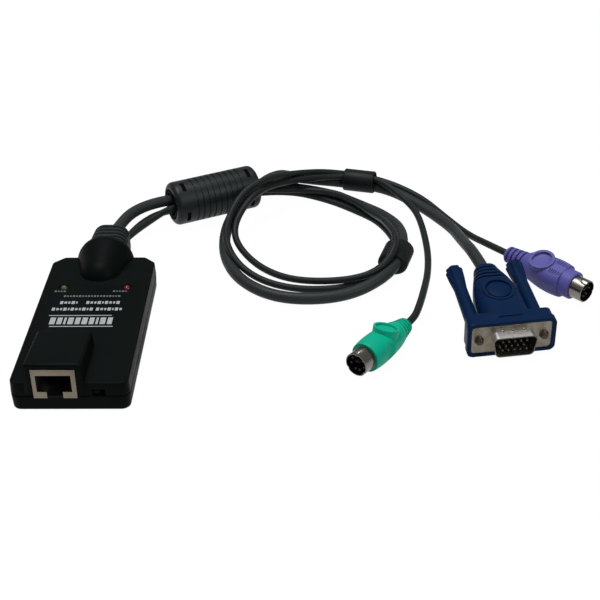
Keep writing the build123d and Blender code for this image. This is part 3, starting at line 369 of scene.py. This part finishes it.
# Network jack.
# Nickel plated shield folded round a black insert with eight gilt contact wires.
shield_edge = 0.0001
jack_nickel = metal_material(
    "jack_nickel", (0.21, 0.18, 0.14, 1), (0.14, 0.115, 0.085, 1), 0.36, tarnish_amount=0.5
)
jack_black = moulded_material(
    "jack_black", (0.002, 0.002, 0.0022, 1), (0.004, 0.004, 0.004, 1), 0.5, specular=0.08
)
contact_gilt = metal_material("contact_gilt", (0.1, 0.075, 0.035, 1), (0.05, 0.035, 0.015, 1), 0.4)
dress("rj45_shield", jack_nickel, shield_edge)
dress("rj45_insert", jack_black)
dress("rj45_contacts", contact_gilt)

# Indicator lamps.
# Tinted epoxy domes, one green and one red, each in a hole of the lid.
cloud_scale = 500.0
dark_share = 0.6


def lamp_material(name, colour, glow):
    """Clear tinted epoxy, a little cloudy, with a faint light of its own."""
    material, nodes, links, shader = new_material(name)
    cloud = nodes.new("ShaderNodeTexNoise")
    cloud.inputs["Scale"].default_value = cloud_scale
    place = nodes.new("ShaderNodeTexCoord")
    links.new(place.outputs["Object"], cloud.inputs["Vector"])
    ramp = nodes.new("ShaderNodeValToRGB")
    ramp.color_ramp.elements[0].color = [part * dark_share for part in colour[:3]] + [1.0]
    ramp.color_ramp.elements[1].color = colour
    links.new(cloud.outputs["Fac"], ramp.inputs["Fac"])
    links.new(ramp.outputs["Color"], shader.inputs["Base Color"])
    links.new(ramp.outputs["Color"], shader.inputs["Emission Color"])
    shader.inputs["Emission Strength"].default_value = glow
    shader.inputs["Roughness"].default_value = 0.12
    shader.inputs["Coat Weight"].default_value = 0.15
    shader.inputs["Specular IOR Level"].default_value = 0.35
    return material


dress("green_lamp", lamp_material("green_dome", (0.03, 0.085, 0.014, 1), 0.02))
dress("red_lamp", lamp_material("red_dome", (0.16, 0.003, 0.004, 1), 0.04))

# Slide switch.
# A small black slide switch on the board; only its ribbed knob shows in the window.
switch_black = moulded_material(
    "switch_black", (0.002, 0.002, 0.002, 1), (0.004, 0.004, 0.004, 1), 0.5, specular=0.08
)
dress("switch_case", jack_black)
dress("switch_knob", switch_black)

# Strain relief.
# Soft black rubber collar, grooved so that it bends with the three cords.
rubber_edge = 0.0002
relief_rubber = moulded_material(
    "relief_rubber",
    (0.009, 0.0125, 0.0122, 1),
    (0.019, 0.0245, 0.024, 1),
    0.5,
    grain=0.4,
    specular=0.14,
)
dress("strain_relief", relief_rubber, rubber_edge)

# Ferrite choke.
# A ferrite tube inside a moulded cover with rings round its middle. The cover stands turned
# about its own axis, which brings its slots to where the photograph has them.
choke_skin = moulded_material(
    "choke_skin",
    (0.005, 0.0078, 0.0082, 1),
    (0.011, 0.0155, 0.0162, 1),
    0.4,
    grain=0.35,
    specular=0.2,
)
# Painted shade: the slot floors and the bore of the cover get a near black material for the shade
# that falls into them.
painted_slot_shade = moulded_material(
    "painted_slot_shade", (0.0006, 0.0007, 0.0007, 1), (0.0012, 0.0013, 0.0013, 1), 0.6, specular=0.03
)
ferrite_grey = moulded_material("ferrite_grey", (0.03, 0.03, 0.032, 1), (0.05, 0.05, 0.05, 1), 0.6)
dress("ferrite_core", ferrite_grey)
choke_middle = Vector((0.0411, 0.107, 0.01))
choke_heading = radians(27)
choke_way = Vector((cos(choke_heading), sin(choke_heading), 0))
slot_turn = radians(37)
slot_place = 0.016
slot_half_width = 0.001
slot_floor_radius = 0.0097
bore_radius = 0.0072

cover_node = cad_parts["ferrite_cover"]
turned_cover = bpy.data.objects.new("turned_cover", cover_node.data.copy())
turned_cover.matrix_world = cover_node.matrix_world
to_axis = Matrix.Translation(choke_middle)
turn_about = to_axis @ Matrix.Rotation(slot_turn, 4, choke_way) @ to_axis.inverted()
to_cover = cover_node.matrix_world.inverted()
turned_cover.data.transform(to_cover @ turn_about @ cover_node.matrix_world)
bpy.context.scene.collection.objects.link(turned_cover)
turned_cover.data.materials.clear()
turned_cover.data.materials.append(choke_skin)
turned_cover.data.materials.append(painted_slot_shade)
# Faces on the slot floors and in the bore take the painted slot shade.
for polygon in turned_cover.data.polygons:
    from_middle = turned_cover.matrix_world @ polygon.center - choke_middle
    along = from_middle.dot(choke_way)
    radius = (from_middle - choke_way * along).length
    in_slot = abs(abs(along) - slot_place) < slot_half_width and radius < slot_floor_radius
    polygon.material_index = 1 if in_slot or radius < bore_radius else 0
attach(turned_cover, "root")
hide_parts("ferrite_cover")

# Sleeves.
# Two short rubber barrels that gather the cords; the front one is pressed oval by the two
# cords in it, as the photograph shows, and the third cord runs over it.
sleeve_rubber = moulded_material(
    "sleeve_rubber", (0.0038, 0.0056, 0.0055, 1), (0.0095, 0.0128, 0.0125, 1), 0.45, specular=0.12
)
dress("rear_sleeve", sleeve_rubber, rubber_edge)
tube_crease = radians(40)


def ring_tube(name, rings, material):
    """A smooth piece whose skin runs from ring to ring of points and closes on itself."""
    tube = bmesh.new()
    loops = [[tube.verts.new(point) for point in ring] for ring in rings]
    for loop, after in zip(loops, loops[1:] + loops[:1]):
        for step in range(len(loop)):
            following = (step + 1) % len(loop)
            tube.faces.new((loop[step], loop[following], after[following], after[step]))
    bmesh.ops.recalc_face_normals(tube, faces=tube.faces)
    mesh = bpy.data.meshes.new(name)
    tube.to_mesh(mesh)
    tube.free()
    mesh.materials.append(material)
    for polygon in mesh.polygons:
        polygon.use_smooth = True
    mesh.set_sharp_from_angle(angle=tube_crease)
    piece = bpy.data.objects.new(name, mesh)
    bpy.context.scene.collection.objects.link(piece)
    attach(piece, "root")
    return piece


def barrel_rings(place, heading, half_width, half_height, length):
    """Rings of a barrel of oval section, open at both ends, that lies along a heading."""
    wall = 0.0011
    round_edge = 0.0013
    edge_steps = 5
    steps = 72
    lip = 0.0002
    throat_share = 0.2
    mouth = length / 2 - lip
    throat = throat_share * length
    end = []
    for step in range(edge_steps + 1):
        angle = step * pi / 2 / edge_steps
        end.append((length / 2 - round_edge * (1 - sin(angle)), round_edge * (1 - cos(angle))))
    profile = [(-along, inset) for along, inset in reversed(end)] + end
    profile += [(mouth, round_edge + wall), (throat, wall * 2)]
    profile += [(-throat, wall * 2), (-mouth, round_edge + wall)]
    turn = Matrix.Translation(place) @ Matrix.Rotation(radians(heading), 4, "Z")
    rings = []
    for along, inset in profile:
        ring = []
        for step in range(steps):
            angle = 2 * pi * step / steps
            side = (half_width - inset) * cos(angle)
            up = (half_height - inset) * sin(angle)
            ring.append(turn @ Vector((along, side, up)))
        rings.append(ring)
    return rings


oval_rings = barrel_rings((0.1232, 0.0572, 0.0053), -106.8, 0.0065, 0.0053, 0.015)
oval_sleeve = ring_tube("oval_sleeve", oval_rings, sleeve_rubber)
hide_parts("front_sleeve")

# Video plug.
# Blue hood moulded over a nickel plated shell, pins in a black insulator,
# and two long thumbscrews on steel jack screws.
plug_blue = moulded_material(
    "plug_blue",
    (0.0003, 0.0095, 0.04, 1),
    (0.0008, 0.0165, 0.058, 1),
    0.42,
    grain=0.3,
    specular=0.06,
)
plug_nickel = metal_material(
    "plug_nickel", (0.86, 0.83, 0.78, 1), (0.55, 0.51, 0.46, 1), 0.24, 0.3, streaks=0.02
)
flange_tin = metal_material(
    "flange_tin", (0.22, 0.2, 0.165, 1), (0.08, 0.06, 0.042, 1), 0.36, 0.8, streaks=0.05
)
rim_tin = metal_material(
    "rim_tin", (0.12, 0.11, 0.1, 1), (0.06, 0.055, 0.05, 1), 0.3, 0.5, streaks=0.02
)
# The pin metal is darkened with painted shade, for the shade that falls on the pins deep inside the
# plug shells.
pin_shade_grey = metal_material(
    "pin_shade_grey", (0.065, 0.06, 0.055, 1), (0.04, 0.036, 0.03, 1), 0.35, streaks=0.05
)
# The jack screws' steel is darkened with painted shade, for the shade in the flange holes they sit
# in.
screw_shade_steel = metal_material(
    "screw_shade_steel", (0.07, 0.055, 0.042, 1), (0.035, 0.026, 0.018, 1), 0.4, 0.6, streaks=0.05
)
insulator_black = moulded_material(
    "insulator_black", (0.003, 0.003, 0.0032, 1), (0.006, 0.006, 0.006, 1), 0.5, specular=0.12
)
dress("vga_hood", plug_blue, rubber_edge)
dress("left_thumb_knob", plug_blue, rubber_edge)
dress("right_thumb_knob", plug_blue, rubber_edge)
dress("left_jack_screw", screw_shade_steel)
dress("right_jack_screw", screw_shade_steel)
dress("vga_pins", pin_shade_grey)
dress("vga_insulator", insulator_black)

# The flange is duller than the skirt, and the skirt's cut rim is darker than both.
flange_face = Vector((0.1625, -0.0103, 0.0086))
plug_way = Vector((0.104274, -0.992099, -0.069756))
flange_reach = 0.0003
rim_facing = 0.3
video_shell = dress("vga_shell", plug_nickel, None)
video_shell.data.materials.append(flange_tin)
video_shell.data.materials.append(rim_tin)
for polygon in video_shell.data.polygons:
    reach = (video_shell.matrix_world @ polygon.center - flange_face).dot(plug_way)
    if reach < flange_reach:
        polygon.material_index = 1
    elif polygon.normal.dot(plug_way) > rim_facing:
        polygon.material_index = 2

# Keyboard plug.
# Purple moulded grip on a round nickel skirt with six pins.
plug_purple = moulded_material(
    "plug_purple", (0.08, 0.075, 0.27, 1), (0.1, 0.09, 0.3, 1), 0.42, grain=0.3, specular=0.14
)
round_nickel = metal_material(
    "round_nickel", (0.2, 0.19, 0.175, 1), (0.12, 0.11, 0.095, 1), 0.2, 0.4, streaks=0.03
)
dress("keyboard_grip", plug_purple, rubber_edge)
dress("keyboard_pins", pin_shade_grey)
dress("keyboard_insulator", insulator_black)


def round_skirt(name, node, place, heading, roll):
    """Round skirt of a plug: a thin tube with three dents pressed into its rim."""
    tube_radius = 0.0047
    root_radius = 0.00485
    sheet = 0.0004
    root_depth = -0.003
    step_depth = 0.0003
    step_slope = 0.00002
    dent_start = 0.0034
    dent_full = 0.0040
    rim_depth = 0.0058
    rim_round = 0.00015
    dent_depth = 0.00035
    dents = ((90, 15), (215, 11), (325, 11))
    steps = 120
    profile = [
        (root_depth, root_radius),
        (step_depth - step_slope, root_radius),
        (step_depth, tube_radius),
        (dent_start, tube_radius),
        (dent_full, tube_radius),
        (rim_depth - rim_round, tube_radius),
        (rim_depth, tube_radius - rim_round),
    ]
    for depth in (rim_depth, dent_full, dent_start, step_depth, root_depth):
        profile.append((depth, tube_radius - sheet))
    turn = (
        Matrix.Translation(place)
        @ Matrix.Rotation(radians(heading), 4, "Z")
        @ Matrix.Rotation(radians(90), 4, "X")
        @ Matrix.Rotation(radians(roll), 4, "Z")
    )
    rings = []
    for depth, radius in profile:
        pressed = dent_depth * min(1.0, max(0.0, (depth - dent_start) / (dent_full - dent_start)))
        ring = []
        for step in range(steps):
            angle = 2 * pi * step / steps
            dent = 0.0
            for middle, half in dents:
                off = abs((angle - radians(middle) + pi) % (2 * pi) - pi) / radians(half)
                if off < 1:
                    dent = max(dent, cos(off * pi / 2) ** 2)
            reach = radius - pressed * dent
            ring.append(turn @ Vector((reach * cos(angle), reach * sin(angle), depth)))
        rings.append(ring)
    skirt = ring_tube(name, rings, round_nickel)
    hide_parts(node)
    return skirt


keyboard_tube = round_skirt(
    "keyboard_round_skirt", "keyboard_skirt", (0.1947, 0.0295, 0.0069), 41.3, 18
)

# Mouse plug.
# Green moulded grip on a round nickel skirt with six pins.
plug_green = moulded_material(
    "plug_green", (0.0004, 0.31, 0.19, 1), (0.0008, 0.345, 0.21, 1), 0.4, grain=0.3, specular=0.1
)
dress("mouse_grip", plug_green, rubber_edge)
dress("mouse_pins", pin_shade_grey)
dress("mouse_insulator", insulator_black)
mouse_tube = round_skirt("mouse_round_skirt", "mouse_skirt", (0.1065, -0.0207, 0.0065), -37, 0)

# Cords.
# One thick screened video cord and two thin ones with a smooth soft jacket; they leave the
# strain relief together, run through the choke and the sleeves, and part before the plugs.
cord_jacket = moulded_material(
    "cord_jacket", (0.0155, 0.0195, 0.0192, 1), (0.026, 0.031, 0.0305, 1), 0.45, specular=0.16
)
thin_jacket = moulded_material(
    "thin_jacket", (0.0075, 0.0108, 0.0105, 1), (0.013, 0.0172, 0.0168, 1), 0.45, specular=0.14
)
vga_route = [
    (-0.0008, 0.06088, 0.0114),
    (0.00144, 0.07358, 0.0114),
    (0.0064, 0.086, 0.0126),
    (0.017, 0.096, 0.0123),
    (0.0296, 0.1028, 0.0104),
    (0.0499, 0.1132, 0.0119),
    (0.0745, 0.1267, 0.0045),
    (0.0972, 0.1222, 0.0025),
    (0.1102, 0.11, 0.0026),
    (0.1218, 0.0976, 0.0032),
    (0.1276, 0.0759, 0.0072),
    (0.1252, 0.0559, 0.0067),
    (0.1183, 0.0392, 0.006),
    (0.1004, 0.0275, 0.003),
    (0.0747, 0.0267, 0.0026),
    (0.0572, 0.0391, 0.0032),
    (0.0482, 0.063, 0.0023),
    (0.0483, 0.0832, 0.0065),
    (0.0554, 0.0956, 0.0127),
    (0.0693, 0.1135, 0.0182),
    (0.0818, 0.1297, 0.0072),
    (0.1035, 0.1338, 0.003),
    (0.123, 0.1258, 0.0039),
    (0.137, 0.1121, 0.0025),
    (0.1506, 0.0889, 0.0026),
    (0.15294, 0.06532, 0.008),
    (0.15492, 0.04852, 0.0123),
    (0.15791, 0.03335, 0.01167),
]
keyboard_route = [
    (0.00099, 0.06105, 0.0061),
    (0.00486, 0.07294, 0.0061),
    (0.0098, 0.0847, 0.0071),
    (0.0177, 0.0942, 0.0077),
    (0.0314, 0.1009, 0.0069),
    (0.0485, 0.1096, 0.0084),
    (0.0757, 0.1222, 0.0045),
    (0.0947, 0.1184, 0.0015),
    (0.1077, 0.1067, 0.0016),
    (0.1189, 0.0942, 0.0019),
    (0.1255, 0.0694, 0.0032),
    (0.1234, 0.0559, 0.0026),
    (0.1157, 0.0425, 0.0036),
    (0.0992, 0.0366, 0.0015),
    (0.0774, 0.0362, 0.0016),
    (0.0599, 0.0466, 0.0023),
    (0.0496, 0.062, 0.0069),
    (0.0487, 0.0812, 0.0104),
    (0.0563, 0.0959, 0.0184),
    (0.0683, 0.104, 0.0209),
    (0.0827, 0.1255, 0.0125),
    (0.0963, 0.1354, 0.0081),
    (0.1195, 0.1323, 0.0059),
    (0.1384, 0.1189, 0.0032),
    (0.1496, 0.0992, 0.0014),
    (0.1573, 0.0824, 0.002),
    (0.16368, 0.06481, 0.0069),
    (0.17094, 0.05655, 0.0069),
]
mouse_route = [
    (0.00315, 0.06118, 0.0088),
    (0.0078, 0.07268, 0.0088),
    (0.014, 0.0838, 0.0087),
    (0.0216, 0.094, 0.0098),
    (0.0334, 0.0996, 0.0097),
    (0.0499, 0.1088, 0.0116),
    (0.076, 0.1196, 0.0063),
    (0.0969, 0.1186, 0.0059),
    (0.1079, 0.1081, 0.0055),
    (0.1161, 0.0943, 0.0057),
    (0.1194, 0.0792, 0.0111),
    (0.1238, 0.0566, 0.0151),
    (0.1186, 0.0441, 0.009),
    (0.106, 0.0368, 0.0058),
    (0.0811, 0.0416, 0.002),
    (0.0648, 0.053, 0.0016),
    (0.0533, 0.0709, 0.0038),
    (0.0521, 0.0821, 0.0086),
    (0.0595, 0.093, 0.0164),
    (0.0698, 0.1078, 0.0157),
    (0.0932, 0.1303, 0.0079),
    (0.1107, 0.1309, 0.0075),
    (0.1202, 0.1259, 0.0081),
    (0.1325, 0.1098, 0.0046),
    (0.1368, 0.0961, 0.0035),
    (0.13824, 0.07009, 0.0016),
    (0.13644, 0.04846, 0.0026),
    (0.13264, 0.02836, 0.005),
    (0.12934, 0.01395, 0.0064),
    (0.1268, 0.00624, 0.0065),
    (0.12359, 0.00198, 0.0065),
]


def cord_line(name, node, points, diameter, jacket):
    """A free cord: one smooth line through the bends of its route."""
    curve = bpy.data.curves.new(name, "CURVE")
    curve.dimensions = "3D"
    curve.bevel_depth = diameter / 2
    curve.bevel_resolution = 6
    curve.resolution_u = 12
    curve.use_fill_caps = True
    spline = curve.splines.new("NURBS")
    spline.points.add(len(points) - 1)
    for point, place in zip(spline.points, points):
        point.co = (*place, 1.0)
    spline.order_u = 3
    spline.use_endpoint_u = True
    curve.materials.append(jacket)
    piece = bpy.data.objects.new(name, curve)
    bpy.context.scene.collection.objects.link(piece)
    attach(piece, "root")
    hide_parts(node)
    return piece


vga_line = cord_line("video_cord_line", "vga_cord", vga_route, 0.005, cord_jacket)
keyboard_line = cord_line("keyboard_cord_line", "keyboard_cord", keyboard_route, 0.003, thin_jacket)
mouse_line = cord_line("mouse_cord_line", "mouse_cord", mouse_route, 0.003, thin_jacket)

# Table and light.
# A pale seamless table top, two soft boxes and an even room; the camera stands in front,
# a little above, and looks down at 32 degrees.
floor_reach = 6.0
floor_drop = 0.0001
floor_white = 0.62
floor_glow = 1.03
glow_share = 0.95
room_strength = 0.3
floor_mesh = bpy.data.meshes.new("table_top")
corner_signs = ((-1, -1), (1, -1), (1, 1), (-1, 1))
floor_corners = [(x * floor_reach, y * floor_reach, 0) for x, y in corner_signs]
floor_mesh.from_pydata(floor_corners, [], [(0, 1, 2, 3)])
table_top = bpy.data.objects.new("table_top", floor_mesh)
table_top.location.z = -floor_drop
bpy.context.scene.collection.objects.link(table_top)

# Seen straight or in a mirror, the table is nearly even white; to the light it is matt paint.
table_paint, table_nodes, table_links, table_shader = new_material("table_paint")
table_shader.inputs["Base Color"].default_value = (floor_white, floor_white, floor_white, 1)
table_shader.inputs["Roughness"].default_value = 0.9
table_shader.inputs["Specular IOR Level"].default_value = 0.0
ray = table_nodes.new("ShaderNodeLightPath")
seen_in_mirror = table_nodes.new("ShaderNodeMath")
seen_in_mirror.operation = "MAXIMUM"
table_links.new(ray.outputs["Is Glossy Ray"], seen_in_mirror.inputs[0])
table_links.new(ray.outputs["Is Transmission Ray"], seen_in_mirror.inputs[1])
seen = table_nodes.new("ShaderNodeMath")
seen.operation = "MAXIMUM"
table_links.new(ray.outputs["Is Camera Ray"], seen.inputs[0])
table_links.new(seen_in_mirror.outputs["Value"], seen.inputs[1])
lift = table_nodes.new("ShaderNodeMath")
lift.operation = "MULTIPLY"
lift.inputs[1].default_value = glow_share
table_links.new(seen.outputs["Value"], lift.inputs[0])
glow = table_nodes.new("ShaderNodeEmission")
glow.inputs["Strength"].default_value = floor_glow
blend = table_nodes.new("ShaderNodeMixShader")
table_links.new(lift.outputs["Value"], blend.inputs["Fac"])
table_links.new(table_shader.outputs["BSDF"], blend.inputs[1])
table_links.new(glow.outputs["Emission"], blend.inputs[2])
table_links.new(blend.outputs["Shader"], table_nodes["Material Output"].inputs["Surface"])
floor_mesh.materials.append(table_paint)

world = bpy.data.worlds.new("room")
bpy.context.scene.world = world
world.use_nodes = True
room = world.node_tree.nodes["Background"]
room.inputs["Color"].default_value = (1, 1, 1, 1)
room.inputs["Strength"].default_value = room_strength
lit_place = Vector((0.08, 0.05, 0))


def soft_box(name, place, size, power):
    """A rectangular soft box that shines at the middle of the object."""
    lamp = bpy.data.lights.new(name, "AREA")
    lamp.shape = "RECTANGLE"
    lamp.size, lamp.size_y = size
    lamp.energy = power
    box = bpy.data.objects.new(name, lamp)
    box.location = place
    box.rotation_euler = (lit_place - Vector(place)).to_track_quat("-Z", "Y").to_euler()
    bpy.context.scene.collection.objects.link(box)


soft_box("upper_box", (-0.1, 0.2, 1.0), (0.6, 0.35), 10.0)
soft_box("side_box", (0.75, -0.5, 0.75), (0.4, 0.4), 4.0)

camera_place = (0.085976, -0.37147, 0.251772)
camera_pan = radians(0.581)
camera_down = radians(32.065)
camera_roll = radians(-0.46)
camera_data = bpy.data.cameras.new("camera")
camera_data.sensor_width = 36.0
camera_data.lens = 68.68
camera = bpy.data.objects.new("camera", camera_data)
camera.matrix_world = (
    Matrix.Translation(camera_place)
    @ Matrix.Rotation(camera_pan, 4, "Z")
    @ Matrix.Rotation(radians(90) - camera_down, 4, "X")
    @ Matrix.Rotation(camera_roll, 4, "Z")
)
bpy.context.scene.collection.objects.link(camera)
bpy.context.scene.camera = camera
bpy.context.scene.view_settings.view_transform = "Standard"
